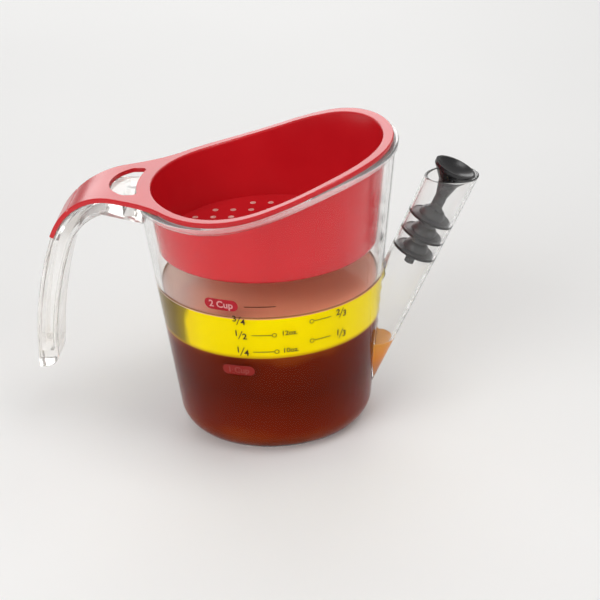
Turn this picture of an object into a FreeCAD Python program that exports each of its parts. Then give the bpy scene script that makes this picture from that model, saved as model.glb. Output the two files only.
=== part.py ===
import FreeCAD, Part
import math
import os
import re
import Sketcher

# Gravy fat separator: a clear jug with a strainer in its rim and a stoppered spout.
# +X points to the spout, -X to the handle, +Z up; the origin is the centre of the base.
# All sizes are millimetres and degrees.

SIZES = {
    # Jug wall, a plain cone whose radius is counted at the table
    "base_radius": 42.8,
    "wall_tilt": 6.8,
    "base_round": 11.4,
    "jug_wall": 2.3,
    "jug_floor": 3.0,
    # Rim line seen from the side: low by the handle, a ramp, high by the spout
    "rim_low": 115.0,
    "rim_high": 135.6,
    "ramp_angle": 19.0,
    "ramp_middle": 13.9,
    "dip_radius": 131.0,
    "crest_radius": 119.0,
    "lip_proud": 1.0,
    "lip_height": 2.2,
    "lip_round": 0.7,
    # Strainer: a flange on the rim and a basket hanging in the jug
    "flange_thickness": 2.0,
    "flange_inset": 1.4,
    "seat_gap": 0.3,
    "basket_gap": 2.0,
    "basket_wall": 1.9,
    "basket_bottom": 86.8,
    "basket_floor": 1.8,
    "basket_round": 3.0,
    "drain_radius": 1.15,
    "drain_pitch": 8.3,
    "drain_field": 41.3,
    "drain_shift": -2.2,
    "opening_round": 0.9,
    "flange_round": 0.6,
    # Strainer tab, which bends down over the handle
    "bend_start": 65.0,
    "bend_radius": 33.5,
    "bend_angle": 69.0,
    "tab_root_angle": 39.0,
    "tab_root_curve": 60.0,
    "tab_neck_reach": 58.5,
    "tab_neck_half": 24.0,
    "tab_flank_curve": 170.0,
    "tab_thumb_reach": 87.9,
    "tab_thumb_half": 12.8,
    "tab_tip_half": 12.3,
    "crease_angle": 41.0,
    "crease_radius": 0.5,
    "window_reach": 69.2,
    "window_radius": 19.5,
    "window_half": 16.0,
    "window_round": 2.5,
    # Handle, an I-section bar with its hollows facing sideways
    "handle_flush": 0.6,
    "handle_depth": 9.6,
    "leg_radius": 190.0,
    "handle_half": 12.3,
    "handle_end_half": 9.0,
    "handle_end": 26.8,
    "handle_end_round": 6.6,
    "handle_skin": 2.2,
    "handle_web": 3.0,
    "handle_block": 9.0,
    "handle_round": 1.2,
    "root_reach": 50.0,
    "root_drop": 13.7,
    "boss_angle": 14.0,
    "rib_angle": 9.5,
    "nook_far": 62.0,
    "nook_near": 57.0,
    # Spout, a slightly flared tube whose axis is counted from the table
    "spout_foot": 26.8,
    "spout_tilt": 25.5,
    "spout_radius": 9.24,
    "spout_flare": 0.012,
    "spout_wall": 1.3,
    "spout_start": 14.0,
    "mouth_height": 116.6,
    "mouth_round": 0.45,
    "inlet_top": 33.0,
    # Stopper, from its dish down along the spout's axis
    "dish_stand": 4.0,
    "dish_gap": 0.15,
    "dish_edge": 1.5,
    "dish_rim": 1.0,
    "dish_depth": 3.2,
    "cone_length": 6.3,
    "cone_radius": 4.6,
    "neck_length": 6.9,
    "waist_length": 5.5,
    "waist_radius": 2.7,
    "hub_taper": 1.2,
    "hub_radius": 3.8,
    "tail_length": 6.0,
    "tail_radius": 2.2,
    # Lip seals round the stopper, each a thin disc with a dome on it
    "seal_pitch": 8.7,
    "seal_count": 3,
    "seal_gap": 0.08,
    "seal_lip": 0.6,
    "seal_slope": 0.7,
    "seal_hollow": 0.8,
    "dome_radius": 5.9,
    "dome_height": 3.6,
    "dome_curve": 4.2,
}

OVER = "30"  # how far a cutting shape runs past what it cuts
TOUCH = 0.001  # how near a place counts as on a surface

doc = FreeCAD.newDocument("gravy_separator")
sheet = doc.addObject("Spreadsheet::Sheet", "size")
for row, (alias, number) in enumerate(SIZES.items(), start=1):
    sheet.set("A%d" % row, alias.replace("_", " "))
    sheet.set("B%d" % row, str(number))
    sheet.setAlias("B%d" % row, alias)
doc.recompute()


def formula(text):
    """Point the size names of a formula at the sheet's cells."""
    return re.sub(r"[a-z]\w*", lambda word: ("size." if word.group() in SIZES else "") + word.group(), text)


def value(text):
    """Work a formula out with the sheet's present numbers."""
    return float(sheet.evalExpression(formula(text)))


def bind(thing, **formulas):
    for key, text in formulas.items():
        thing.setExpression(key, formula(text))


def place(thing, across="0", along="0", up="0"):
    for key, text in (("x", across), ("y", along), ("z", up)):
        thing.setExpression(".Placement.Base." + key, formula(text))


def outline(body, name, plane, corners):
    """Draw a closed outline on one of a body's own planes.

    Each corner is (across, up, run). The run to the next corner is straight where it is "",
    and otherwise an arc of that radius, which turns left, or right after a leading minus.
    """
    sketch = body.newObject("Sketcher::SketchObject", name)
    flat = [feature for feature in body.Origin.OriginFeatures if feature.Role == plane][0]
    sketch.AttachmentSupport = [(flat, "")]
    sketch.MapMode = "FlatFace"
    points = [FreeCAD.Vector(value(across), value(up), 0) for across, up, run in corners]
    starts = []
    ends = []
    for index, (across, up, run) in enumerate(corners):
        here = points[index]
        there = points[(index + 1) % len(points)]
        turns_right = run.startswith("-")
        if run == "":
            sketch.addGeometry(Part.LineSegment(here, there))
        else:
            radius = value(run.lstrip("-"))
            chord = there - here
            lift = math.sqrt(max(radius ** 2 - (chord.Length / 2) ** 2, 0.0))
            side = FreeCAD.Vector(-chord.y, chord.x, 0).normalize() * (-lift if turns_right else lift)
            centre = (here + there) * 0.5 + side
            begin, end = (there, here) if turns_right else (here, there)
            angles = [math.atan2((spot - centre).y, (spot - centre).x) for spot in (begin, end)]
            circle = Part.Circle(centre, FreeCAD.Vector(0, 0, 1), radius)
            sketch.addGeometry(Part.ArcOfCircle(circle, angles[0], angles[1]))
        starts.append(2 if turns_right else 1)
        ends.append(1 if turns_right else 2)
    for index, (across, up, run) in enumerate(corners):
        following = (index + 1) % len(corners)
        joined = Sketcher.Constraint("Coincident", index, ends[index], following, starts[following])
        sketch.addConstraint(joined)
        for kind, text, axis in (("DistanceX", across, -2), ("DistanceY", up, -1)):
            if text == "0":
                sketch.addConstraint(Sketcher.Constraint("PointOnObject", index, starts[index], axis))
            else:
                rule = Sketcher.Constraint(kind, -1, 1, index, starts[index], value(text))
                number = sketch.addConstraint(rule)
                sketch.setExpression("Constraints[%d]" % number, formula(text))
        if run != "":
            radius = run.lstrip("-")
            number = sketch.addConstraint(Sketcher.Constraint("Radius", index, value(radius)))
            sketch.setExpression("Constraints[%d]" % number, formula(radius))
    return sketch


def slab(name, plane, corners, thickness):
    """A body of one outline, given a thickness half to each side of its plane."""
    body = doc.addObject("PartDesign::Body", name)
    feature = body.newObject("PartDesign::Pad", name + "_pad")
    feature.Profile = outline(body, name + "_outline", plane, corners)
    feature.SideType = "Symmetric"
    bind(feature, Length=thickness)
    return body


def turned(name, corners):
    """A body of one outline, turned about the upright axis."""
    body = doc.addObject("PartDesign::Body", name)
    sketch = outline(body, name + "_outline", "XZ_Plane", corners)
    feature = body.newObject("PartDesign::Revolution", name + "_turned")
    feature.Profile = sketch
    feature.ReferenceAxis = (sketch, ["V_Axis"])
    feature.Angle = 360.0
    return body


def fillet_upright(body, radius):
    """Round the edges of a body's last feature that stand square to the table."""
    doc.recompute()
    last = body.Tip
    names = []
    for number, edge in enumerate(last.Shape.Edges, start=1):
        if edge.Curve.TypeId == "Part::GeomLine" and abs(edge.tangentAt(edge.FirstParameter).z) > 0.999:
            names.append("Edge%d" % number)
    feature = body.newObject("PartDesign::Fillet", body.Name + "_rounds")
    feature.Base = (last, names)
    bind(feature, Radius=radius)


def rounded(name, base, radius, wanted):
    """Round the edges of a shape that pass only through wanted places."""
    doc.recompute()
    edges = []
    for number, edge in enumerate(base.Shape.Edges, start=1):
        low, high = edge.ParameterRange
        spots = [edge.valueAt(low + (high - low) * share) for share in (0.1, 0.5, 0.9)]
        if all(wanted(spot) for spot in spots):
            edges.append((number, value(radius), value(radius)))
    result = doc.addObject("Part::Fillet", name)
    result.Base = base
    result.Edges = edges
    return result


def touches(body, spot):
    return body.Shape.distToShape(Part.Vertex(spot))[0] < TOUCH


def on_wall(spot, inset):
    """Whether a place is on the jug's wall cone at an inset."""
    return abs(math.hypot(spot.x, spot.y) - value(wall("%.9f" % spot.z, inset))) < TOUCH


def cut(name, base, *tools):
    """Cut the tools out of a shape, one after the other."""
    for number, tool in enumerate(tools, start=1):
        result = doc.addObject("Part::Cut", name if number == len(tools) else "%s_cut_%d" % (name, number))
        result.Base = base
        result.Tool = tool
        base = result
    return base


def common(name, base, tool):
    result = doc.addObject("Part::Common", name)
    result.Base = base
    result.Tool = tool
    return result


def fuse(name, *shapes):
    result = doc.addObject("Part::MultiFuse", name)
    result.Shapes = list(shapes)
    result.Refine = True
    return result


def block(name, length, width, height):
    box = doc.addObject("Part::Box", name)
    bind(box, Length=length, Width=width, Height=height)
    return box


def lean_with_spout(thing):
    """Stand a body, whose own upright axis is the spout's axis, in its leaning place."""
    thing.Placement = FreeCAD.Placement(FreeCAD.Vector(1, 0, 0), FreeCAD.Rotation(FreeCAD.Vector(0, 1, 0), 10))
    thing.setExpression(".Placement.Rotation.Angle", formula("spout_tilt*1deg"))
    thing.setExpression(".Placement.Base.x", formula("spout_foot"))


# Formulas that several pieces share

def wall(height, inset="0"):
    """Radius of the jug's outer wall at a height, less an inset."""
    return "(base_radius + (%s)*tan(wall_tilt*1deg) - (%s))" % (height, inset)


def corner_run(radius):
    """How far a rounding between a level floor and the wall reaches along each of them."""
    return "((%s)*tan((90 - wall_tilt)/2*1deg))" % radius


def up_wall(floor, inset, radius):
    """The corner where a rounding that starts on a level floor meets the wall."""
    return ("%s + %s*sin(wall_tilt*1deg)" % (wall(floor, inset), corner_run(radius)),
            "%s + %s*cos(wall_tilt*1deg)" % (floor, corner_run(radius)))


def spout_outside(height):
    return "(spout_radius + spout_flare*(%s))" % height


def spout_bore(height):
    return "(%s - spout_wall)" % spout_outside(height)


def around_bend(radius, angle):
    """A point on the bend over the handle, with its angle counted from straight up."""
    return ("(-bend_start - (%s)*sin((%s)*1deg))" % (radius, angle),
            "(rim_low - bend_radius + (%s)*cos((%s)*1deg))" % (radius, angle))


RIM_DROP = "(flange_thickness + seat_gap)"
BASKET_OUT = "(jug_wall + basket_gap)"
BASKET_IN = "(jug_wall + basket_gap + basket_wall)"
TOP = "(rim_high + %s)" % OVER


def above_rim(name, drop):
    """Everything above the rim line, with the line lowered by a drop."""
    rise = "(rim_high - rim_low)"
    dip_run = "(dip_radius*tan(ramp_angle/2*1deg))"
    crest_run = "(crest_radius*tan(ramp_angle/2*1deg))"
    ramp_foot = "(ramp_middle - %s/2/tan(ramp_angle*1deg))" % rise
    ramp_head = "(ramp_middle + %s/2/tan(ramp_angle*1deg))" % rise
    low = "(rim_low - %s)" % drop
    high = "(rim_high - %s)" % drop
    return slab(name, "XZ_Plane", [
        ("-base_radius*3", TOP, ""),
        ("-base_radius*3", low, ""),
        ("%s - %s" % (ramp_foot, dip_run), low, "dip_radius"),
        ("%s + %s*cos(ramp_angle*1deg)" % (ramp_foot, dip_run),
         "%s + %s*sin(ramp_angle*1deg)" % (low, dip_run), ""),
        ("%s - %s*cos(ramp_angle*1deg)" % (ramp_head, crest_run),
         "%s - %s*sin(ramp_angle*1deg)" % (high, crest_run), "-crest_radius"),
        ("%s + %s" % (ramp_head, crest_run), high, ""),
        ("base_radius*3", high, ""),
        ("base_radius*3", TOP, ""),
    ], "base_radius*4")


def wall_cone(name, inset):
    """A solid that follows the jug's outer wall at an inset."""
    cone = doc.addObject("Part::Cone", name)
    bind(cone, Radius1=wall("0", inset), Radius2=wall(TOP, inset), Height=TOP)
    return cone


# Jug

above_jug = above_rim("above_jug", RIM_DROP)
jug_outside = wall_cone("jug_outside", "0")


def make_lip():
    """The bead round the jug's rim, which stands proud of the wall."""
    low = "(rim_low - %s)" % OVER
    above_lip = above_rim("above_lip", "(%s + lip_height)" % RIM_DROP)
    collar = turned("lip_collar", [
        (wall(low, "jug_wall/2"), low, ""),
        (wall(low, "-lip_proud"), low, ""),
        (wall(TOP, "-lip_proud"), TOP, ""),
        (wall(TOP, "jug_wall/2"), TOP, ""),
    ])
    return cut("lip", common("lip_band", collar, above_lip), above_jug)


def make_jug(lip, inlet):
    inner_round = "(base_round - jug_wall)"
    shell = turned("jug_shell", [
        ("0", "0", ""),
        ("base_radius - " + corner_run("base_round"), "0", "base_round"),
        up_wall("0", "0", "base_round") + ("",),
        (wall(TOP), TOP, ""),
        (wall(TOP, "jug_wall"), TOP, ""),
        up_wall("jug_floor", "jug_wall", inner_round) + ("-" + inner_round,),
        ("%s - %s" % (wall("jug_floor", "jug_wall"), corner_run(inner_round)), "jug_floor", ""),
        ("0", "jug_floor", ""),
    ])
    lipped = fuse("lipped_shell", cut("trimmed_shell", shell, above_jug), lip)
    soft = rounded("soft_shell", lipped, "lip_round", lambda spot: touches(above_jug, spot))
    return cut("jug_body", soft, inlet)


# Spout

def make_spout():
    """The leaning tube, and the part of its bore that opens the jug's wall low down."""
    top = "(mouth_height/cos(spout_tilt*1deg) + %s)" % OVER
    tube = turned("spout_blank", [
        (spout_bore("spout_start"), "spout_start", ""),
        (spout_outside("spout_start"), "spout_start", ""),
        (spout_outside(top), top, ""),
        (spout_bore(top), top, ""),
    ])
    bore = turned("spout_core", [
        ("0", "spout_start", ""),
        (spout_bore("spout_start"), "spout_start", ""),
        (spout_bore(top), top, ""),
        ("0", top, ""),
    ])
    lean_with_spout(tube)
    lean_with_spout(bore)
    above_mouth = block("above_mouth", "base_radius*6", "base_radius*4", top)
    place(above_mouth, "-base_radius*3", "-base_radius*2", "mouth_height")
    above_inlet = block("above_inlet", "base_radius*6", "base_radius*4", top)
    place(above_inlet, "-base_radius*3", "-base_radius*2", "inlet_top")
    open_tube = cut("open_tube", tube, jug_outside, above_mouth)
    spout = rounded("spout_tube", open_tube, "mouth_round", lambda spot: touches(above_mouth, spot))
    return spout, cut("inlet", bore, above_inlet)


# Handle

def handle_side(name, seat, leg_top, depth, first_angle, low_end, closing, toe):
    """The bar's side view from its seat under the tab, round the bend and down the leg.

    The closing corners join the inner bend back to the start of the seat.
    """
    inner = "(%s - (%s))" % (leg_top, depth)
    leg_outer = "(leg_radius - (bend_radius - handle_flush - %s))" % leg_top
    leg_inner = "(%s - (%s))" % (leg_outer, depth)
    centre_across, centre_up = around_bend("bend_radius - handle_flush - leg_radius", "bend_angle")

    def down_leg(radius, height):
        return "(%s - sqrt((%s)^2 - (%s - %s)^2))" % (centre_across, radius, height, centre_up)

    corners = list(first_angle)
    corners += [
        around_bend(seat, "bend_angle") + ("",),
        around_bend(leg_top, "bend_angle") + (leg_outer,),
        (down_leg(leg_outer, low_end), low_end, ""),
    ]
    if toe:
        toe_top = "(%s + %s)" % (low_end, toe)
        corners.append(("%s - %s" % (down_leg(leg_inner, toe_top), toe), low_end, toe))
        corners.append((down_leg(leg_inner, toe_top), toe_top, "-" + leg_inner))
    else:
        corners.append((down_leg(leg_inner, low_end), low_end, "-" + leg_inner))
    corners.append(around_bend(inner, "bend_angle") + ("-" + inner,))
    return slab(name, "XZ_Plane", corners + closing(inner), "handle_half*4")


def make_handle(lip):
    seat = "(bend_radius - %s)" % RIM_DROP
    leg_top = "(bend_radius - handle_flush)"
    root_top = around_bend(seat, "0")[1]
    root_under = "(rim_low - %s - root_drop)" % RIM_DROP
    bar = handle_side(
        "handle_bar", seat, leg_top, "handle_depth",
        [("-root_reach", root_top, ""), around_bend(seat, "0") + (seat,)], "handle_end",
        lambda inner: [around_bend(inner, "boss_angle") + ("",), ("-root_reach", root_under, "")],
        "handle_end_round")
    inner_seat = "(%s - handle_skin)" % seat
    hollow = handle_side(
        "handle_hollow", inner_seat, "(%s - handle_skin)" % leg_top, "handle_depth - handle_skin*2",
        [around_bend(inner_seat, "rib_angle") + (inner_seat,)], "(handle_end + handle_block)",
        lambda inner: [around_bend(inner, "rib_angle") + ("",)], "")
    nook_top = "(%s - handle_skin)" % root_top
    nook_floor = "(%s + handle_skin*2)" % root_under
    nook = slab("handle_nook", "XZ_Plane", [
        ("-nook_near", nook_top, ""),
        ("-nook_far", nook_top, ""),
        ("-nook_far", nook_floor, ""),
        ("-nook_near", nook_floor, ""),
    ], "handle_half*4")
    web = block("handle_web_slab", "base_radius*4", "handle_web", TOP)
    place(web, "-base_radius*4", "-handle_web/2")
    bend_height = around_bend("0", "0")[1]
    flanks = slab("handle_flanks", "YZ_Plane", [
        ("-handle_end_half", "0", ""),
        ("handle_end_half", "0", ""),
        ("handle_end_half", "handle_end", ""),
        ("handle_half", bend_height, ""),
        ("handle_half", TOP, ""),
        ("-handle_half", TOP, ""),
        ("-handle_half", bend_height, ""),
        ("-handle_end_half", "handle_end", ""),
    ], "base_radius*8")
    hollows = cut("handle_hollows", fuse("handle_gaps", hollow, nook), web)
    inner_half = value("handle_web")
    beside_jug = -value(wall("rim_low"))
    soft_bar = rounded("soft_bar", common("tapered_bar", bar, flanks), "handle_round",
                       lambda spot: abs(spot.y) > inner_half and spot.x < beside_jug)
    return cut("handle", soft_bar, hollows, jug_outside, lip)


# Strainer

def make_tab():
    """The tab in side view, kept where its plan view is, with the window cut out of it."""
    under = "(bend_radius - flange_thickness)"
    tip_angle = "(bend_angle - seat_gap/bend_radius*180/pi)"
    band = slab("tab_band", "XZ_Plane", [
        ("-base_radius", "rim_low", ""),
        around_bend("bend_radius", "0") + ("bend_radius",),
        around_bend("bend_radius", tip_angle) + ("",),
        around_bend(under, tip_angle) + ("-" + under,),
        around_bend(under, "0") + ("",),
        ("-base_radius", "rim_low - flange_thickness", ""),
    ], "base_radius*2")
    edge = wall("rim_low", "flange_inset")
    root_across = "(-%s*cos(tab_root_angle*1deg))" % edge
    root_half = "(%s*sin(tab_root_angle*1deg))" % edge
    tip = "(-bend_start - bend_radius)"
    plan = slab("tab_plan", "XY_Plane", [
        (root_across, root_half, "-tab_root_curve"),
        ("-tab_neck_reach", "tab_neck_half", "-tab_flank_curve"),
        ("-tab_thumb_reach", "tab_thumb_half", ""),
        (tip, "tab_tip_half", ""),
        (tip, "-tab_tip_half", ""),
        ("-tab_thumb_reach", "-tab_thumb_half", "-tab_flank_curve"),
        ("-tab_neck_reach", "-tab_neck_half", "-tab_root_curve"),
        (root_across, "-" + root_half, ""),
    ], "rim_high*4")
    window_centre = "(window_reach - window_radius)"
    straight = "(%s + sqrt(window_radius^2 - window_half^2))" % window_centre
    bridge = "sqrt(%s^2 - window_half^2)" % wall("rim_low")
    window = slab("tab_window", "XY_Plane", [
        ("-" + bridge, "-window_half", ""),
        ("-" + straight, "-window_half", "-window_radius"),
        ("-" + straight, "window_half", ""),
        ("-" + bridge, "window_half", wall("rim_low")),
    ], "rim_high*4")
    fillet_upright(window, "window_round")
    crease = doc.addObject("Part::Cylinder", "tab_crease")
    bind(crease, Radius="crease_radius", Height="base_radius*2")
    crease.Placement.Rotation = FreeCAD.Rotation(FreeCAD.Vector(1, 0, 0), 90)
    across, up = around_bend("bend_radius", "crease_angle")
    place(crease, across, "base_radius", up)
    blank = common("tab_blank", band, plan)
    reach = value("bend_radius")
    root = -value(edge + "*cos(tab_root_angle*1deg)")

    def along_flank(spot):
        """Whether a place is on the tab's upper face, beside the flange and away from the middle."""
        if abs(spot.y) < value("tab_tip_half/2") or spot.x > root:
            return False
        if spot.x > -value("bend_start"):
            return abs(spot.z - value("rim_low")) < TOUCH
        up = value(around_bend("0", "0")[1])
        return abs(math.hypot(spot.x + value("bend_start"), spot.z - up) - reach) < TOUCH

    soft = rounded("soft_tab", blank, "flange_round", along_flank)
    return cut("tab", soft, window, crease)


def make_drains():
    """Holes on a square grid, kept inside a round field of the basket's floor."""
    steps = range(-int(value("drain_field/drain_pitch")) - 1, int(value("drain_field/drain_pitch")) + 2)
    drains = []
    for column in steps:
        for line in steps:
            across = "drain_shift + drain_pitch*(%d)" % column
            along = "drain_pitch*(%d + 0.5)" % line
            if math.hypot(value(across), value(along)) > value("drain_field"):
                continue
            drain = doc.addObject("Part::Cylinder", "drain_%d" % (len(drains) + 1))
            bind(drain, Radius="drain_radius", Height="basket_floor*3")
            place(drain, across, along, "basket_bottom - basket_floor")
            drains.append(drain)
    group = doc.addObject("Part::Compound", "drains")
    group.Links = drains
    return group


def make_strainer():
    above_flange = above_rim("above_flange", "0")
    above_flange_foot = above_rim("above_flange_foot", "flange_thickness")
    band = common("flange_band", wall_cone("flange_disc", "flange_inset"), above_flange_foot)
    flange = rounded("flange", cut("flange_blank", band, above_flange), "flange_round",
                     lambda spot: touches(above_flange, spot) and on_wall(spot, "flange_inset"))
    basket = turned("basket_blank", [
        ("0", "basket_bottom", ""),
        ("%s - %s" % (wall("basket_bottom", BASKET_OUT), corner_run("basket_round")), "basket_bottom",
         "basket_round"),
        up_wall("basket_bottom", BASKET_OUT, "basket_round") + ("",),
        (wall(TOP, BASKET_OUT), TOP, ""),
        ("0", TOP, ""),
    ])
    floor = "(basket_bottom + basket_floor)"
    opening = turned("basket_inside", [
        ("0", floor, ""),
        (wall(floor, BASKET_IN), floor, ""),
        (wall(TOP, BASKET_IN), TOP, ""),
        ("0", TOP, ""),
    ])
    whole = fuse("strainer_blank", flange, cut("basket", basket, above_flange), make_tab())
    soft = rounded("soft_strainer", cut("open_strainer", whole, opening), "opening_round",
                   lambda spot: touches(above_flange, spot) and on_wall(spot, BASKET_IN))
    return cut("strainer", soft, make_drains())


# Stopper, with its heights counted along the spout's axis

DISH_TOP = "(mouth_height/cos(spout_tilt*1deg) + dish_stand)"
CONE_FOOT = "(%s - dish_edge - cone_length)" % DISH_TOP
WAIST_TOP = "(%s - neck_length)" % CONE_FOOT
WAIST_FOOT = "(%s - waist_length)" % WAIST_TOP
HUB_TOP = "(%s - hub_taper)" % WAIST_FOOT


def seal_foot(number):
    """Height of a seal's lip, with the topmost dome just under the hub's top."""
    return "(%s - seal_lip - seal_slope - dome_height - seal_pitch*%d)" % (HUB_TOP, number - 1)


def make_stem():
    """The stopper's stem, from its thin tail up to the dish that closes the mouth."""
    dish = "(%s - dish_gap)" % spout_bore("%s - dish_edge" % DISH_TOP)
    hollow = "(%s - dish_rim)" % dish
    hollow_curve = "((%s^2 + dish_depth^2)/2/dish_depth)" % hollow
    hub_foot = seal_foot(value("seal_count"))
    stem = turned("plunger_stem", [
        ("0", hub_foot + " - tail_length", ""),
        ("tail_radius", hub_foot + " - tail_length", ""),
        ("tail_radius", hub_foot, ""),
        ("hub_radius", hub_foot, ""),
        ("hub_radius", HUB_TOP, ""),
        ("waist_radius", WAIST_FOOT, ""),
        ("waist_radius", WAIST_TOP, ""),
        ("cone_radius", CONE_FOOT, ""),
        (dish, DISH_TOP + " - dish_edge", ""),
        (dish, DISH_TOP, ""),
        (hollow, DISH_TOP, "-" + hollow_curve),
        ("0", DISH_TOP + " - dish_depth", ""),
    ])
    lean_with_spout(stem)
    return stem


def make_seal(number):
    """One soft seal on the hub: a thin disc whose lip wipes the spout's bore, under a dome."""
    lip = seal_foot(number)
    reach = "(%s - seal_gap)" % spout_bore(lip)
    dome = lip + " + seal_lip + seal_slope"
    seal = turned("seal_%d" % number, [
        (reach, lip, ""),
        (reach, lip + " + seal_lip", ""),
        ("dome_radius", dome, "dome_curve"),
        ("hub_radius", dome + " + dome_height", ""),
        ("hub_radius", lip + " + seal_hollow", ""),
        (reach + " - seal_lip", lip, ""),
    ])
    lean_with_spout(seal)
    return seal


lip = make_lip()
spout_tube, inlet = make_spout()
pieces = [make_jug(lip, inlet), spout_tube, make_handle(lip), make_strainer(), make_stem()]
pieces += [make_seal(number) for number in range(1, int(value("seal_count")) + 1)]
doc.recompute()

failed = [thing.Label for thing in doc.Objects if "Invalid" in thing.State or "Error" in thing.State]
if failed:
    raise RuntimeError("these did not build: " + ", ".join(failed))
for piece in pieces:
    if piece.Shape.isNull() or not piece.Shape.isValid() or not piece.Shape.Solids:
        raise RuntimeError("not a sound solid: " + piece.Label)

os.makedirs("parts", exist_ok=True)
for piece in pieces:
    piece.Shape.exportStep("parts/%s.step" % piece.Label)
    size = piece.Shape.BoundBox
    print("%-14s solids %d  volume %9.1f  x %7.2f %7.2f  y %7.2f %7.2f  z %7.2f %7.2f" % (
        piece.Label, len(piece.Shape.Solids), piece.Shape.Volume,
        size.XMin, size.XMax, size.YMin, size.YMax, size.ZMin, size.ZMax))
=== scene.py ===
import math

import bmesh
import bpy
from mathutils import Matrix, Vector


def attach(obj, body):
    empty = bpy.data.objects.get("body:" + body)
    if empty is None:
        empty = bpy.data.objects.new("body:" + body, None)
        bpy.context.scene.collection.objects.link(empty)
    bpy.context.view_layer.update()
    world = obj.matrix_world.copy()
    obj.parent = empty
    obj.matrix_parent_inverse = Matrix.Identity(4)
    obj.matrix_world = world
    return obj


# Gravy fat separator: clear jug, red strainer, black stopper, and gravy under its fat.
# Lengths are metres unless a name ends in _MM. Colours are linear.

MM = 0.001
MERGE = 0.001 * MM  # points nearer than this are one point, so seams are closed

# Jug wall, a cone whose radius is counted at the table
BASE_RADIUS = 42.8 * MM
WALL_TILT = 6.8  # degrees
WALL_SLOPE = math.tan(math.radians(WALL_TILT))
WALL = 2.3 * MM
FLOOR = 3.0 * MM
FLOOR_ROUND = 9.1 * MM
WET = 0.4 * MM  # a liquid reaches this far into the wall that it wets, so no air shows between them

# Rim line seen from the side: low by the handle, high by the spout
RIM_LOW = 115.0 * MM
RIM_HIGH = 135.6 * MM
RIM_RISE_START = -37.9 * MM
RIM_RISE_END = 63.7 * MM

# The bead under the rim line, how clear it is, and where the clear wall turns into it. It is less clear than
# the wall, so it shows as a painted pale band
LIP_DEPTH = 4.6 * MM
LIP_CLEARNESS = 0.76
LIP_FADE = (-0.3 * MM, 0.5 * MM)

# Liquids, by the height of their surfaces over the table
GRAVY_TOP = 50.8 * MM
FAT_TOP = 70.8 * MM
SPOUT_LEVEL = 37.8 * MM
FAT_SINK = 0.3 * MM  # the fat reaches this far into the gravy
FAT_WET = 0.8 * WET  # a little less than the gravy, so that their sides don't lie in each other
MENISCUS = 1.1 * MM
MENISCUS_WIDTH = 2.6 * MENISCUS
MENISCUS_STEPS = (0.1, 0.3, 0.6, 1.0)

# Spout, a tube whose axis leans towards +X from a point on the table
SPOUT_FOOT = 26.8 * MM
SPOUT_TILT = math.radians(25.5)
SPOUT_RADIUS = 9.24 * MM
SPOUT_FLARE = 0.012
SPOUT_WALL = 1.3 * MM
SPOUT_BOTTOM = 14.0 * MM
SPOUT_PLACE = Matrix.Translation((SPOUT_FOOT, 0, 0)) @ Matrix.Rotation(SPOUT_TILT, 4, "Y")

# Lip seals, by where they stand along the spout's axis
SEAL_FOOT = 89.49 * MM
SEAL_PITCH = 8.7 * MM
SEAL_COUNT = 3
# Section of a seal's soft lip: outward from the spout's bore, and up from the seal's foot
SEAL_LIP_MM = [(-1.2, 0.1), (0.1, -0.3), (0.25, 0.3), (0.1, 0.9), (-1.2, 0.8)]

# Drain holes on a square grid in the basket's floor, as far out as DRAIN_FIELD
DRAIN_RADIUS = 1.15 * MM
DRAIN_PITCH = 8.3 * MM
DRAIN_FIELD = 41.3 * MM
DRAIN_SHIFT = -2.2 * MM
DRAIN_COLUMNS = 11
DRAIN_LINES = 10
DRAIN_TOP = 88.6 * MM
# Section of a painted glint ring at a hole's edge: outward from the hole's wall, and up from the floor's
# upper face
DRAIN_EDGE_MM = [(0.0, -1.7), (0.22, 0.04), (0.0, 0.07), (-0.12, -0.25), (-0.12, -1.7)]

# Steps round a turned shape, and round the bottom edge of the gravy
JUG_STEPS = 160
CUTTER_STEPS = 256
SPOUT_STEPS = 96
DRAIN_STEPS = 16
CORNER_STEPS = 16
SHARP = 35.0  # degrees

# Camera, at the photograph's viewing angle
CAMERA_PLACE = Vector((93.97, -772.83, 427.17)) * MM
CAMERA_RIGHT = Vector((0.99556, 0.08258, -0.04508))
CAMERA_UP = Vector((0.00489, 0.43313, 0.90132))
CAMERA_LENS_MM = 114.0
CAMERA_SENSOR_MM = 36.0
CAMERA_NEAR = 0.01
CAMERA_FAR = 50.0

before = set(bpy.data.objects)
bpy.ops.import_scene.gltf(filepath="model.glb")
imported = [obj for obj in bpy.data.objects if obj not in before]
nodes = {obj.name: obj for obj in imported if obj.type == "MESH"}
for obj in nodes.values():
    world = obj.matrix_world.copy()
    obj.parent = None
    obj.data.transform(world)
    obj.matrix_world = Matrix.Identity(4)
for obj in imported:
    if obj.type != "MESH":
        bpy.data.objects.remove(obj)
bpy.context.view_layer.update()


def wall_radius(height, inset=0.0):
    """Radius of the jug's outer wall at a height, less an inset."""
    return BASE_RADIUS + WALL_SLOPE * height - inset


def spout_bore(along):
    """Radius of the spout's bore at a length along its axis."""
    return SPOUT_RADIUS + SPOUT_FLARE * along - SPOUT_WALL


# Node trees and materials

class Tree:
    """A node tree, with short calls that add and link its nodes."""

    def __init__(self, tree):
        self.tree = tree

    def add(self, kind, **settings):
        node = self.tree.nodes.new(kind)
        for key, setting in settings.items():
            setattr(node, key, setting)
        return node

    def link(self, output, socket):
        self.tree.links.new(output, socket)

    def blend(self, factor, first, second, surface):
        """Go from one shader to another by a factor, and send the result to the surface."""
        mix = self.add("ShaderNodeMixShader")
        self.link(factor, mix.inputs["Fac"])
        self.link(first, mix.inputs[1])
        self.link(second, mix.inputs[2])
        self.link(mix.outputs["Shader"], surface)


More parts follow.
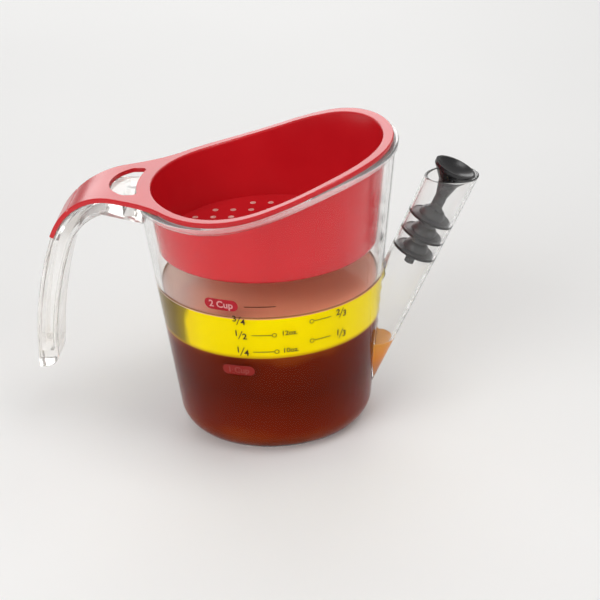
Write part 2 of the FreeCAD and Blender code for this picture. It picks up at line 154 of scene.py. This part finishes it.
class Recipe(Tree):
    """A material's node tree, with short calls for the nodes that the finishes share."""

    def __init__(self, name):
        self.material = bpy.data.materials.new(name)
        self.material.use_nodes = True
        super().__init__(self.material.node_tree)
        self.shader = self.tree.nodes["Principled BSDF"]
        self.surface = self.tree.nodes["Material Output"].inputs["Surface"]
        self.place = self.add("ShaderNodeTexCoord").outputs["Object"]

    def set(self, **sockets):
        """Set the shader's sockets, whose names are written with _ for a space."""
        for name, number in sockets.items():
            self.shader.inputs[name.replace("_", " ")].default_value = number

    def gloss(self, level):
        """Scale the mirror image that the surface gives when it is seen squarely."""
        self.set(Specular_Tint=(level, level, level, 1))

    def color(self, output):
        self.link(output, self.shader.inputs["Base Color"])

    def roughness(self, scale, low, high, detail=2.0):
        """Let the polish drift between two roughnesses."""
        self.link(self.spread(self.noise(scale, detail), low, high), self.shader.inputs["Roughness"])

    def noise(self, scale, detail=2.0, roughness=0.5, stretch=(1, 1, 1)):
        mapping = self.add("ShaderNodeMapping")
        mapping.inputs["Scale"].default_value = stretch
        self.link(self.place, mapping.inputs["Vector"])
        node = self.add("ShaderNodeTexNoise")
        for name, number in (("Scale", scale), ("Detail", detail), ("Roughness", roughness)):
            node.inputs[name].default_value = number
        self.link(mapping.outputs["Vector"], node.inputs["Vector"])
        return node.outputs["Fac"]

    def spread(self, value, low, high, start=0.3, end=0.7, curve="LINEAR"):
        """Map start to end onto low to high. The usual start and end are a noise's middle range."""
        node = self.add("ShaderNodeMapRange", interpolation_type=curve)
        for name, number in (("From Min", start), ("From Max", end), ("To Min", low), ("To Max", high)):
            node.inputs[name].default_value = number
        self.link(value, node.inputs["Value"])
        return node.outputs["Result"]

    def ramp(self, value, stops):
        node = self.add("ShaderNodeValToRGB")
        bar = node.color_ramp
        while len(bar.elements) < len(stops):
            bar.elements.new(0.5)
        for element, (position, color) in zip(bar.elements, stops):
            element.position = position
            element.color = color + (1,)
        self.link(value, node.inputs["Fac"])
        return node.outputs["Color"]

    def combine(self, operation, first, second):
        node = self.add("ShaderNodeMath", operation=operation)
        self.link(first, node.inputs[0])
        self.link(second, node.inputs[1])
        return node.outputs["Value"]

    def part(self, axis):
        """One coordinate of the place on the object."""
        node = self.add("ShaderNodeSeparateXYZ")
        self.link(self.place, node.inputs["Vector"])
        return node.outputs[axis]

    def cloudy(self, axis, start, end, scale, drift, stops, detail=2.0, more=None):
        """Colours along an axis, with clouds that shift them. What else shifts them can be given as more."""
        along = self.spread(self.part(axis), 0.0, 1.0, start, end)
        shift = self.spread(self.noise(scale, detail), -drift, drift)
        if more:
            shift = self.combine("ADD", shift, more)
        return self.ramp(self.combine("ADD", along, shift), stops)

    def mix(self, start, end, below, above):
        """Go from one colour to another between two heights. A colour is three numbers or a node's output."""
        node = self.add("ShaderNodeMix", data_type="RGBA")
        self.link(self.spread(self.part("Z"), 0.0, 1.0, start, end), node.inputs["Factor"])
        for name, color in (("A", below), ("B", above)):
            if isinstance(color, tuple):
                node.inputs[name].default_value = color + (1,)
            else:
                self.link(color, node.inputs[name])
        return node.outputs["Result"]

    def bump(self, height, strength, distance):
        node = self.add("ShaderNodeBump")
        node.inputs["Strength"].default_value = strength
        node.inputs["Distance"].default_value = distance
        self.link(height, node.inputs["Height"])
        self.link(node.outputs["Normal"], self.shader.inputs["Normal"])

    def let_lamps_through(self, color):
        """Light from lamps passes with a tint, so what is behind the clear piece isn't in the dark."""
        path = self.add("ShaderNodeLightPath")
        clear = self.add("ShaderNodeBsdfTransparent")
        clear.inputs["Color"].default_value = color + (1,)
        self.blend(path.outputs["Is Shadow Ray"], self.shader.outputs["BSDF"], clear.outputs["BSDF"],
                   self.surface)


def clear_plastic(name, clear, streak, grain, swirl, bend=1.47, haze=0.0):
    """Polished clear moulding with faint flow streaks, a soft ripple from the mould and an even haze."""
    recipe = Recipe(name)
    recipe.set(Transmission_Weight=1.0 - haze, IOR=bend)
    recipe.gloss(0.25)
    flow = recipe.noise(38.0, 3.0, 0.55, grain)
    recipe.color(recipe.ramp(flow, [(0.34, streak), (0.56, clear)]))
    recipe.roughness(120.0, 0.0, 0.05)
    recipe.bump(recipe.noise(26.0, 2.0, 0.4, grain), swirl, 0.4 * MM)
    recipe.let_lamps_through((0.97, 0.97, 0.965))
    return recipe


def lip_painted_pale(recipe):
    """The bead under the rim line is made less clear than the thin wall, so it shows as a pale band: painted
    light where the clear bead would show dark.
    """
    bead = recipe.spread(recipe.part("X"), RIM_LOW - LIP_DEPTH, RIM_HIGH - LIP_DEPTH,
                         RIM_RISE_START, RIM_RISE_END, "SMOOTHSTEP")
    above = recipe.combine("SUBTRACT", recipe.part("Z"), bead)
    recipe.link(recipe.spread(above, 1.0, LIP_CLEARNESS, *LIP_FADE),
                recipe.shader.inputs["Transmission Weight"])
    return recipe


def red_plastic():
    """Glossy red moulding, with its colour and polish a little uneven and a very fine grain all over."""
    recipe = Recipe("strainer red")
    recipe.gloss(0.9)
    cloud = recipe.noise(22.0, 3.0)
    recipe.color(recipe.ramp(cloud, [(0.3, (0.52, 0.008, 0.014)), (0.7, (0.60, 0.013, 0.02))]))
    recipe.roughness(60.0, 0.15, 0.23, 4.0)
    recipe.bump(recipe.noise(1600.0), 0.025, 0.05 * MM)
    return recipe.material


def black_rubber(name, low, high, grain):
    """Satin black moulding with a fine grain and worn, paler patches."""
    recipe = Recipe(name)
    recipe.set(Specular_IOR_Level=0.5)
    patches = recipe.noise(90.0, 4.0)
    recipe.color(recipe.ramp(patches, [(0.3, (0.008, 0.008, 0.009)), (0.75, (0.02, 0.019, 0.02))]))
    recipe.roughness(140.0, low, high, 3.0)
    recipe.bump(recipe.noise(grain), 0.1, 0.04 * MM)
    return recipe.material


def fat_liquid():
    """Yellow fat, olive near the handle and darker at its foot. Its top surface is painted: a reddish brown
    painted reflection of the strainer and gravy, going over to paler grey towards the handle, outside the
    strainer's painted shade.
    """
    foot = (0.52, 0.28, 0.006)
    meniscus = (0.30, 0.13, 0.05)
    recipe = Recipe("melted fat")
    recipe.set(Transmission_Weight=0.1, IOR=1.08)
    back = recipe.spread(recipe.part("Y"), 0.0, 1.0, -8 * MM, 14 * MM)
    body = recipe.cloudy("X", -42 * MM, -26 * MM, 60.0, 0.1, [
        (0.2, (0.20, 0.13, 0.012)), (0.5, (0.34, 0.25, 0.012)),
        (0.66, (0.95, 0.72, 0.0)), (1.0, (1.0, 0.80, 0.0)),
    ], more=back)
    # Painted reflection and shade on the top surface: pale grey towards the handle, reddish brown under the
    # strainer.
    top = recipe.cloudy("X", -42 * MM, 4 * MM, 30.0, 0.1, [
        (0.1, (0.70, 0.54, 0.46)), (0.5, (0.80, 0.38, 0.25)), (1.0, (0.78, 0.31, 0.18)),
    ])
    low = recipe.mix(GRAVY_TOP, GRAVY_TOP + 1.8 * MM, foot, body)
    inside = recipe.mix(FAT_TOP - 0.10 * MM, FAT_TOP - 0.04 * MM, low, top)
    recipe.color(recipe.mix(FAT_TOP + 0.25 * MM, FAT_TOP + 0.5 * MM, inside, meniscus))
    recipe.roughness(70.0, 0.02, 0.08)
    recipe.let_lamps_through((0.95, 0.8, 0.15))
    return recipe.material


def gravy_liquid():
    """Dark red-brown gravy with drifting clouds. Painted light makes it brighter by the floor and under the
    fat, where light shines through it.
    """
    recipe = Recipe("gravy")
    recipe.set(IOR=1.08)
    # Painted light: brighter at the bottom by the floor and at the top under the fat.
    recipe.color(recipe.cloudy("Z", 0.0, GRAVY_TOP, 24.0, 0.08, [
        (0.05, (0.26, 0.038, 0.006)), (0.25, (0.16, 0.013, 0.003)), (0.6, (0.10, 0.008, 0.002)),
        (0.93, (0.12, 0.010, 0.002)), (1.0, (0.21, 0.034, 0.005)),
    ], detail=3.0))
    recipe.roughness(50.0, 0.12, 0.22)
    return recipe.material


def thin_gravy():
    """Gravy in the spout, painted bright orange for the light that glows through it where it is thin, and
    darker towards the spout's bottom.
    """
    recipe = Recipe("thin gravy")
    recipe.set(Transmission_Weight=0.15, IOR=1.08)
    # Painted glow: bright orange up the spout, darker at its bottom.
    recipe.color(recipe.cloudy("Z", SPOUT_BOTTOM, SPOUT_LEVEL, 50.0, 0.06, [
        (0.05, (0.36, 0.08, 0.006)), (0.6, (0.88, 0.30, 0.008)), (0.95, (0.90, 0.39, 0.04)),
    ]))
    recipe.roughness(60.0, 0.03, 0.09)
    recipe.let_lamps_through((0.8, 0.5, 0.2))
    return recipe.material


def print_ink(name, dark, light, roughness, over_gravy=None):
    """Screen-printed ink with a slightly uneven coat, thin enough to darken over the gravy."""
    recipe = Recipe(name)
    coat = recipe.ramp(recipe.noise(900.0, 3.0), [(0.3, dark), (0.7, light)])
    if over_gravy:
        coat = recipe.mix(GRAVY_TOP - 0.3 * MM, GRAVY_TOP, over_gravy, coat)
    recipe.color(coat)
    recipe.roughness(500.0, roughness, roughness + 0.15)
    recipe.gloss(0.4)
    return recipe.material


def painted_glint():
    """Pale pinkish red for the rings in the drain holes: a painted glint, for the light that comes up through
    them.
    """
    recipe = Recipe("drain edge")
    # Painted glint: pale pinkish red.
    recipe.color(recipe.ramp(recipe.noise(400.0), [(0.3, (0.80, 0.42, 0.38)), (0.7, (0.95, 0.66, 0.6))]))
    recipe.roughness(700.0, 0.15, 0.3)
    return recipe.material


# Making pieces

def add_object(name, data):
    item = bpy.data.objects.new(name, data)
    bpy.context.collection.objects.link(item)
    return item


def new_piece(name, mesh, material, body):
    piece = add_object(name, mesh)
    mesh.materials.clear()
    mesh.materials.append(material)
    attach(piece, body)
    return piece


def plain_mesh(item):
    """The item's final shape as a mesh. The item itself is taken away."""
    mesh = bpy.data.meshes.new_from_object(item.evaluated_get(bpy.context.evaluated_depsgraph_get()))
    bpy.data.objects.remove(item)
    return mesh


def closed_mesh(name, work):
    """Close the seams of a worked shape, turn its faces outward and give it as a mesh."""
    bmesh.ops.remove_doubles(work, verts=work.verts, dist=MERGE)
    bmesh.ops.recalc_face_normals(work, faces=work.faces)
    mesh = bpy.data.meshes.new(name)
    work.to_mesh(mesh)
    work.free()
    return mesh


def smooth(mesh):
    for polygon in mesh.polygons:
        polygon.use_smooth = True
    mesh.set_sharp_from_angle(angle=math.radians(SHARP))


def circle(radius, height, steps):
    turns = [2 * math.pi * step / steps for step in range(steps)]
    return [(radius * math.cos(turn), radius * math.sin(turn), height) for turn in turns]


def arc(centre, radius, first, last, count):
    """Points on an arc, with its angles in degrees."""
    turns = [math.radians(first + (last - first) * step / count) for step in range(count + 1)]
    return [(centre[0] + radius * math.cos(turn), centre[1] + radius * math.sin(turn)) for turn in turns]


def turned_mesh(name, profile, steps=JUG_STEPS):
    """A solid turned about the upright axis from (radius, height) points.

    The profile starts and ends on the axis, or ends where it starts.
    """
    work = bmesh.new()
    rings = []
    for radius, height in profile:
        places = [(0, 0, height)] if radius < MERGE else circle(radius, height, steps)
        rings.append([work.verts.new(place) for place in places])
    for low, high in zip(rings, rings[1:]):
        for step in range(steps):
            after = (step + 1) % steps
            corners = [low[step % len(low)], low[after % len(low)],
                       high[after % len(high)], high[step % len(high)]]
            corners = [corner for index, corner in enumerate(corners) if corner not in corners[:index]]
            if len(corners) > 2:
                work.faces.new(corners)
    mesh = closed_mesh(name, work)
    smooth(mesh)
    return mesh


def turned_section(name, section_mm, radius, height, steps):
    """A ring turned from a closed section that is given round a radius and a height."""
    section = [(radius + out * MM, height + up * MM) for out, up in section_mm]
    return turned_mesh(name, section + section[:1], steps)


def make_gravy():
    """Gravy fills the jug's rounded bottom, up to the fat."""
    inset = WALL - WET
    floor = FLOOR - WET
    run = FLOOR_ROUND * math.tan(math.radians(90 - WALL_TILT) / 2)
    centre = (wall_radius(floor, inset) - run, floor + FLOOR_ROUND)
    profile = [(0, floor)] + arc(centre, FLOOR_ROUND, -90, -WALL_TILT, CORNER_STEPS)
    profile += [(wall_radius(GRAVY_TOP, inset), GRAVY_TOP), (0, GRAVY_TOP)]
    new_piece("gravy", turned_mesh("gravy", profile), gravy_liquid(), "jug")


def make_fat():
    """Fat floats on the gravy, and its surface climbs the wall a little."""
    inset = WALL - FAT_WET
    low = GRAVY_TOP - FAT_SINK
    high = FAT_TOP + MENISCUS
    edge = wall_radius(FAT_TOP, inset)
    profile = [(0, low), (wall_radius(low, inset), low), (wall_radius(high, inset), high)]
    profile += [(edge - MENISCUS_WIDTH * part, FAT_TOP + MENISCUS * (1 - part) ** 3)
                for part in MENISCUS_STEPS]
    profile += [(0, FAT_TOP)]
    new_piece("fat", turned_mesh("fat", profile), fat_liquid(), "jug")


def make_spout_gravy():
    """Gravy in the spout's foot: the bore's shape, outside the jug's wall and under the level."""
    bore_top = 2 * SPOUT_LEVEL
    wall_top = 3 * SPOUT_LEVEL
    box = 1.0
    bore = turned_mesh("spout gravy", [
        (0, SPOUT_BOTTOM), (spout_bore(SPOUT_BOTTOM) + WET, SPOUT_BOTTOM),
        (spout_bore(bore_top) + WET, bore_top), (0, bore_top),
    ], SPOUT_STEPS)
    bore.transform(SPOUT_PLACE)
    liquid = add_object("spout liquid", bore)
    jug = add_object("jug cutter", turned_mesh("jug cutter", [
        (0, -FLOOR), (wall_radius(-FLOOR, WET), -FLOOR),
        (wall_radius(wall_top, WET), wall_top), (0, wall_top),
    ], CUTTER_STEPS))
    bpy.ops.mesh.primitive_cube_add(size=box, location=(SPOUT_FOOT, 0, SPOUT_LEVEL + box / 2))
    level = bpy.context.object
    for cutter in (jug, level):
        cut = liquid.modifiers.new("cut", "BOOLEAN")
        cut.operation = "DIFFERENCE"
        cut.solver = "EXACT"
        cut.object = cutter
    mesh = plain_mesh(liquid)
    for cutter in (jug, level):
        bpy.data.objects.remove(cutter)
    smooth(mesh)
    new_piece("spout_gravy", mesh, thin_gravy(), "jug")


# Scale printed on the jug's wall. A drawing is flat, with x across and y up, and is then laid on the wall.

INK_PROUD = 0.06 * MM
INK_THICK = 0.05 * MM
LETTER_WEIGHT = 0.022  # how far the letters' outlines are pushed out, as a share of their size
LETTER_CURVE = 4
LINE_THICK = 0.35 * MM
LINE_STEPS = 12
RING_RADIUS = 1.1 * MM
RING_STEPS = 28
BADGE_STEPS = 10
BADGE_END_STEPS = 12

# A fraction: its size, and as shares of that the numbers' size and places and the stroke's corners
FRACTION_SIZE = 4.7 * MM
NUMBER_SIZE = 0.88
UPPER_NUMBER = (-0.38, 0.16)
LOWER_NUMBER = (0.40, -0.16)
SLASH = [(-0.26, -0.46), (-0.17, -0.46), (0.26, 0.46), (0.17, 0.46)]

# Places below are across from the jug's middle and over the table.
# Quarters: the two numbers, their place, and the leader's start and end across, if any
QUARTERS_MM = [
    ("3", "4", -8.5, 70.8, None),
    ("1", "2", -8.2, 63.5, (-3.4, 5.4)),
    ("1", "4", -7.9, 55.1, (-3.2, 6.0)),
]
# Thirds: the two numbers, their place, and the leader's circle
THIRDS_MM = [("2", "3", 34.6, 68.0, 22.5, 68.0), ("1", "3", 34.0, 57.6, 22.1, 58.2)]
THIRDS_GAP_MM = 2.9  # from a leader's end to the middle of its number
# Ounces: words, place and size
OUNCES_MM = [("12oz.", 13.0, 64.1, 3.3), ("10oz.", 13.1, 55.3, 3.3)]
# Badges: words, place, length and height
BADGES_MM = [("2 Cup", -15.8, 78.0, 15.6, 5.6), ("1 Cup", -10.4, 45.1, 14.8, 5.0)]
BADGE_WORDS = 0.8  # size of a badge's words, as a share of its height
# The line beside the upper badge: its start and end across, and its height
CUP_LINE_MM = (-5.6, 8.0, 77.9)


def on_wall(drawing, across_mm, height_mm, proud=INK_PROUD):
    """Lay a drawing on the wall, with its origin at a place on the side that faces the camera."""
    middle = height_mm * MM
    radius = wall_radius(middle)
    start = math.asin(across_mm * MM / radius) - math.pi / 2
    for vertex in drawing.vertices:
        up = middle + vertex.co.y * math.cos(math.radians(WALL_TILT))
        reach = wall_radius(up) + proud + vertex.co.z
        turn = start + vertex.co.x / radius
        vertex.co = (reach * math.cos(turn), reach * math.sin(turn), up)
    return drawing


def words(text, size, across=0.0, up=0.0):
    """Flat, heavy lettering, centred on a place."""
    curve = bpy.data.curves.new("words", "FONT")
    curve.body = text
    curve.size = size
    curve.align_x = "CENTER"
    curve.align_y = "CENTER"
    curve.resolution_u = LETTER_CURVE
    curve.extrude = INK_THICK / 2
    curve.offset = LETTER_WEIGHT * size
    mesh = plain_mesh(add_object("words", curve))
    mesh.transform(Matrix.Translation((across, up, 0)))
    return mesh


def plate(points):
    """A flat shape of ink, as thick as the print."""
    work = bmesh.new()
    half = INK_THICK / 2
    low, high = ([work.verts.new((x, y, level)) for x, y in points] for level in (-half, half))
    work.faces.new(high)
    work.faces.new(list(reversed(low)))
    for index in range(len(points)):
        after = (index + 1) % len(points)
        work.faces.new((low[index], low[after], high[after], high[index]))
    return closed_mesh("plate", work)


def badge(length, height):
    """A plate with round ends, with enough points along it to follow the wall."""
    reach = (length - height) / 2
    half = height / 2
    places = [-reach + 2 * reach * step / BADGE_STEPS for step in range(1, BADGE_STEPS)]
    return plate([(x, -half) for x in places] + arc((reach, 0), half, -90, 90, BADGE_END_STEPS)
                 + [(-x, half) for x in places] + arc((-reach, 0), half, 90, 270, BADGE_END_STEPS))


def line(length):
    """A thin line that starts at its origin, with enough points along it to follow the wall."""
    lower = [(length * step / LINE_STEPS, -LINE_THICK / 2) for step in range(LINE_STEPS + 1)]
    return plate(lower + [(x, LINE_THICK / 2) for x, y in reversed(lower)])


def open_circle():
    """A small ring at a leader's end."""
    half = INK_THICK / 2
    inner = RING_RADIUS - LINE_THICK
    work = bmesh.new()
    loops = [[work.verts.new(place) for place in circle(radius, level, RING_STEPS)]
             for radius, level in ((RING_RADIUS, -half), (RING_RADIUS, half), (inner, half), (inner, -half))]
    for first, second in zip(loops, loops[1:] + loops[:1]):
        for step in range(RING_STEPS):
            after = (step + 1) % RING_STEPS
            work.faces.new((first[step], first[after], second[after], second[step]))
    return closed_mesh("ring", work)


def leader(start_mm, end_mm, circle_mm, height_mm):
    """A thin line on the wall and the open circle at one of its ends."""
    return [on_wall(line((end_mm - start_mm) * MM), start_mm, height_mm),
            on_wall(open_circle(), circle_mm, height_mm)]


def fraction(upper, lower, across_mm, height_mm):
    """A number over a slanted stroke over a number, on the wall."""
    size = FRACTION_SIZE
    drawings = [words(number, NUMBER_SIZE * size, x * size, y * size)
                for number, (x, y) in ((upper, UPPER_NUMBER), (lower, LOWER_NUMBER))]
    drawings.append(plate([(x * size, y * size) for x, y in SLASH]))
    return [on_wall(drawing, across_mm, height_mm) for drawing in drawings]


def print_piece(name, drawings, ink):
    """Drawings that are on the wall already, as one piece of the print."""
    work = bmesh.new()
    for drawing in drawings:
        work.from_mesh(drawing)
    new_piece(name, closed_mesh(name, work), ink, "jug")


def make_scale():
    dark = []
    for upper, lower, across, height, reach in QUARTERS_MM:
        dark += fraction(upper, lower, across, height)
        if reach:
            start, end = reach
            dark += leader(start, end, end + RING_RADIUS / MM, height)
    for text, across, height, size in OUNCES_MM:
        dark.append(on_wall(words(text, size * MM), across, height))
    for upper, lower, across, height, ring, ring_height in THIRDS_MM:
        dark += fraction(upper, lower, across, height)
        dark += leader(ring + RING_RADIUS / MM, across - THIRDS_GAP_MM, ring, ring_height)
    start, end, height = CUP_LINE_MM
    dark.append(on_wall(line((end - start) * MM), start, height))
    print_piece("scale_print", dark, print_ink("brown ink", (0.03, 0.008, 0.004), (0.05, 0.014, 0.007), 0.35))
    red = [on_wall(badge(length * MM, tall * MM), across, height)
           for text, across, height, length, tall in BADGES_MM]
    print_piece("cup_badges", red, print_ink(
        "red ink", (0.38, 0.006, 0.014), (0.45, 0.010, 0.022), 0.3, over_gravy=(0.26, 0.012, 0.008)))
    white = [on_wall(words(text, BADGE_WORDS * tall * MM), across, height, INK_PROUD + INK_THICK)
             for text, across, height, length, tall in BADGES_MM]
    print_piece("badge_words", white, print_ink(
        "white ink", (0.62, 0.27, 0.27), (0.70, 0.34, 0.33), 0.4, over_gravy=(0.32, 0.05, 0.04)))


# What repeats, made by Geometry Nodes

class Repeat(Tree):
    """A Geometry Nodes tree that puts one piece on many points, with its sizes as named inputs."""

    def __init__(self, name, **sizes):
        super().__init__(bpy.data.node_groups.new(name, "GeometryNodeTree"))
        self.tree.is_modifier = True
        self.sizes = sizes
        sockets = self.tree.interface
        sockets.new_socket("Geometry", in_out="INPUT", socket_type="NodeSocketGeometry")
        for size, number in sizes.items():
            kind = "NodeSocketInt" if isinstance(number, int) else "NodeSocketFloat"
            sockets.new_socket(size, in_out="INPUT", socket_type=kind)
        sockets.new_socket("Geometry", in_out="OUTPUT", socket_type="NodeSocketGeometry")
        self.source = self.add("NodeGroupInput")

    def size(self, name, socket):
        self.link(self.source.outputs[name], socket)

    def place_on(self, points, mesh, material):
        """Put the piece on the points, make it real, and give back the plain mesh."""
        rows = self.add("GeometryNodeInstanceOnPoints")
        real = self.add("GeometryNodeRealizeInstances")
        paint = self.add("GeometryNodeSetMaterial")
        paint.inputs["Material"].default_value = material
        self.link(points, rows.inputs["Points"])
        self.size("Geometry", rows.inputs["Instance"])
        self.link(rows.outputs["Instances"], real.inputs["Geometry"])
        self.link(real.outputs["Geometry"], paint.inputs["Geometry"])
        self.link(paint.outputs["Geometry"], self.add("NodeGroupOutput").inputs["Geometry"])
        helper = add_object("one of the row", mesh)
        modifier = helper.modifiers.new("row", "NODES")
        modifier.node_group = self.tree
        for item in self.tree.interface.items_tree:
            if item.in_out == "INPUT" and item.name in self.sizes:
                modifier[item.identifier] = self.sizes[item.name]
        return plain_mesh(helper)


def make_seal_lips(material):
    """The soft lips of the seals, squeezed against the spout's bore and evenly spaced up the stopper."""
    lip = turned_section("seal lip", SEAL_LIP_MM, spout_bore(SEAL_FOOT + SEAL_PITCH), 0.0, SPOUT_STEPS)
    row = Repeat("seal lips up the stopper", Count=SEAL_COUNT, Pitch=SEAL_PITCH)
    points = row.add("GeometryNodeMeshLine")
    step = row.add("ShaderNodeCombineXYZ")
    row.size("Count", points.inputs["Count"])
    row.size("Pitch", step.inputs["Z"])
    row.link(step.outputs["Vector"], points.inputs["Offset"])
    lips = row.place_on(points.outputs["Mesh"], lip, material)
    lips.transform(SPOUT_PLACE @ Matrix.Translation((0, 0, SEAL_FOOT)))
    new_piece("seal_lips", lips, material, "stopper")


def make_painted_drain_glints(material):
    """Rings in the drain holes' edges, painted as a glint for the light that comes up through the holes."""
    edge = turned_section("drain edge", DRAIN_EDGE_MM, DRAIN_RADIUS, DRAIN_TOP, DRAIN_STEPS)
    grid = Repeat("drain edges on a grid", Columns=DRAIN_COLUMNS, Lines=DRAIN_LINES, Pitch=DRAIN_PITCH,
                  Shift=DRAIN_SHIFT, Field=DRAIN_FIELD)
    points = grid.add("GeometryNodeMeshGrid")
    for count, side, reach in (("Columns", "Vertices X", "Size X"), ("Lines", "Vertices Y", "Size Y")):
        grid.size(count, points.inputs[side])
        gaps = grid.add("ShaderNodeMath", operation="SUBTRACT")
        gaps.inputs[1].default_value = 1.0
        span = grid.add("ShaderNodeMath", operation="MULTIPLY")
        grid.size(count, gaps.inputs[0])
        grid.link(gaps.outputs["Value"], span.inputs[0])
        grid.size("Pitch", span.inputs[1])
        grid.link(span.outputs["Value"], points.inputs[reach])
    shift = grid.add("ShaderNodeCombineXYZ")
    grid.size("Shift", shift.inputs["X"])
    moved = grid.add("GeometryNodeSetPosition")
    grid.link(points.outputs["Mesh"], moved.inputs["Geometry"])
    grid.link(shift.outputs["Vector"], moved.inputs["Offset"])
    away = grid.add("ShaderNodeVectorMath", operation="LENGTH")
    grid.link(grid.add("GeometryNodeInputPosition").outputs["Position"], away.inputs[0])
    outside = grid.add("FunctionNodeCompare", data_type="FLOAT", operation="GREATER_THAN")
    grid.link(away.outputs["Value"], outside.inputs["A"])
    grid.size("Field", outside.inputs["B"])
    kept = grid.add("GeometryNodeDeleteGeometry", domain="POINT")
    grid.link(moved.outputs["Geometry"], kept.inputs["Geometry"])
    grid.link(outside.outputs["Result"], kept.inputs["Selection"])
    edges = grid.place_on(kept.outputs["Geometry"], edge, material)
    new_piece("painted_drain_glints", edges, material, "strainer")


# CAD nodes keep their shapes and get their finishes

def dress(name, material):
    for slot in nodes[name].material_slots:
        slot.material = material


CLEAR = (0.985, 0.985, 0.982)
jug_clear = clear_plastic("jug clear", CLEAR, (0.95, 0.945, 0.935), (1, 1, 0.25), 0.1, bend=1.22)
spout_clear = clear_plastic("spout clear", CLEAR, (0.94, 0.935, 0.925), (1, 1, 0.2), 0.15, haze=0.03)
handle_clear = clear_plastic("handle clear", (0.97, 0.965, 0.955), (0.86, 0.81, 0.76), (1.4, 1.4, 0.5), 0.35,
                             haze=0.16)
dress("jug_body", lip_painted_pale(jug_clear).material)
dress("spout_tube", spout_clear.material)
dress("handle", handle_clear.material)
dress("strainer", red_plastic())
dress("plunger_stem", black_rubber("stopper black", 0.22, 0.34, 900.0))
soft_black = black_rubber("seal black", 0.3, 0.42, 1200.0)
for number in range(1, SEAL_COUNT + 1):
    dress("seal_%d" % number, soft_black)
make_seal_lips(black_rubber("seal lip black", 0.26, 0.4, 1500.0))
# Rings of painted glint in the drain holes.
make_painted_drain_glints(painted_glint())

make_gravy()
make_fat()
make_spout_gravy()
make_scale()


# Stage

BACKDROP = (0.82, 0.818, 0.81, 1)
FLOOR_REACH = 8.0
FLOOR_DROP = 0.3 * MM  # the floor lies this far under the jug, so the two faces don't fight
FLOOR_FADE = (0.4, 1.5)  # between these distances the floor goes over into the backdrop
ROOM_LOW = (0.42, 0.415, 0.41, 1)
ROOM_HIGH = (0.56, 0.555, 0.55, 1)
ROOM_TOP = 0.7
ROOM_STRENGTH = 0.8
LAMP_AIM = Vector((0, 0, 0.06))
# Lamps: name, place, size, watts, and whether glossy surfaces mirror them
LAMPS = [
    ("back softbox", (-0.2, 1.15, 0.55), (1.0, 0.7), 4.5, True),
    ("left softbox", (-0.6, -0.9, 0.75), (0.8, 0.8), 7.0, False),
    ("right softbox", (1.1, -0.7, 0.5), (0.8, 0.8), 4.5, False),
    ("top softbox", (0.3, -0.1, 1.2), (0.5, 0.5), 3.5, True),
]


def make_floor():
    """A wide pale floor. Far off, where the lamps' light has died away, the camera sees it just as pale."""
    recipe = Recipe("studio floor")
    recipe.color(recipe.ramp(recipe.noise(3.0), [(0.3, (0.83, 0.827, 0.82)), (0.7, (0.86, 0.857, 0.85))]))
    recipe.set(Roughness=0.7)
    away = recipe.add("ShaderNodeVectorMath", operation="LENGTH")
    recipe.link(recipe.place, away.inputs[0])
    far = recipe.spread(away.outputs["Value"], 0.0, 1.0, *FLOOR_FADE)
    seen = recipe.combine("MULTIPLY", far, recipe.add("ShaderNodeLightPath").outputs["Is Camera Ray"])
    glow = recipe.add("ShaderNodeEmission")
    glow.inputs["Color"].default_value = BACKDROP
    recipe.blend(seen, recipe.shader.outputs["BSDF"], glow.outputs["Emission"], recipe.surface)
    mesh = bpy.data.meshes.new("floor")
    corners = [(-1, -1), (1, -1), (1, 1), (-1, 1)]
    places = [(x * FLOOR_REACH, y * FLOOR_REACH, -FLOOR_DROP) for x, y in corners]
    mesh.from_pydata(places, [], [(0, 1, 2, 3)])
    mesh.materials.append(recipe.material)
    add_object("floor", mesh)


def make_world():
    """A studio room, light overhead and darker round the sides, so that clear edges show."""
    world = bpy.data.worlds.new("studio")
    world.use_nodes = True
    bpy.context.scene.world = world
    studio = Tree(world.node_tree)
    split = studio.add("ShaderNodeSeparateXYZ")
    ramp = studio.add("ShaderNodeValToRGB")
    studio.link(studio.add("ShaderNodeTexCoord").outputs["Generated"], split.inputs["Vector"])
    studio.link(split.outputs["Z"], ramp.inputs["Fac"])
    for element, position, color in zip(ramp.color_ramp.elements, (0.0, ROOM_TOP), (ROOM_LOW, ROOM_HIGH)):
        element.position = position
        element.color = color
    room = studio.tree.nodes["Background"]
    studio.link(ramp.outputs["Color"], room.inputs["Color"])
    room.inputs["Strength"].default_value = ROOM_STRENGTH
    backdrop = studio.add("ShaderNodeBackground")
    backdrop.inputs["Color"].default_value = BACKDROP
    path = studio.add("ShaderNodeLightPath")
    studio.blend(path.outputs["Is Camera Ray"], room.outputs["Background"], backdrop.outputs["Background"],
                 studio.tree.nodes["World Output"].inputs["Surface"])


def make_lamp(name, place, size, watts, mirrored):
    data = bpy.data.lights.new(name, "AREA")
    data.shape = "RECTANGLE"
    data.size, data.size_y = size
    data.energy = watts
    lamp = add_object(name, data)
    lamp.location = place
    lamp.rotation_euler = (LAMP_AIM - Vector(place)).to_track_quat("-Z", "Y").to_euler()
    lamp.visible_glossy = mirrored
    lamp.visible_camera = False


def make_camera():
    data = bpy.data.cameras.new("camera")
    data.lens = CAMERA_LENS_MM
    data.sensor_width = CAMERA_SENSOR_MM
    data.clip_start = CAMERA_NEAR
    data.clip_end = CAMERA_FAR
    camera = add_object("camera", data)
    turn = Matrix((CAMERA_RIGHT, CAMERA_UP, CAMERA_RIGHT.cross(CAMERA_UP))).transposed().to_4x4()
    camera.matrix_world = Matrix.Translation(CAMERA_PLACE) @ turn
    bpy.context.scene.camera = camera


make_floor()
make_world()
for lamp in LAMPS:
    make_lamp(*lamp)
make_camera()
bpy.context.scene.view_settings.view_transform = "Standard"
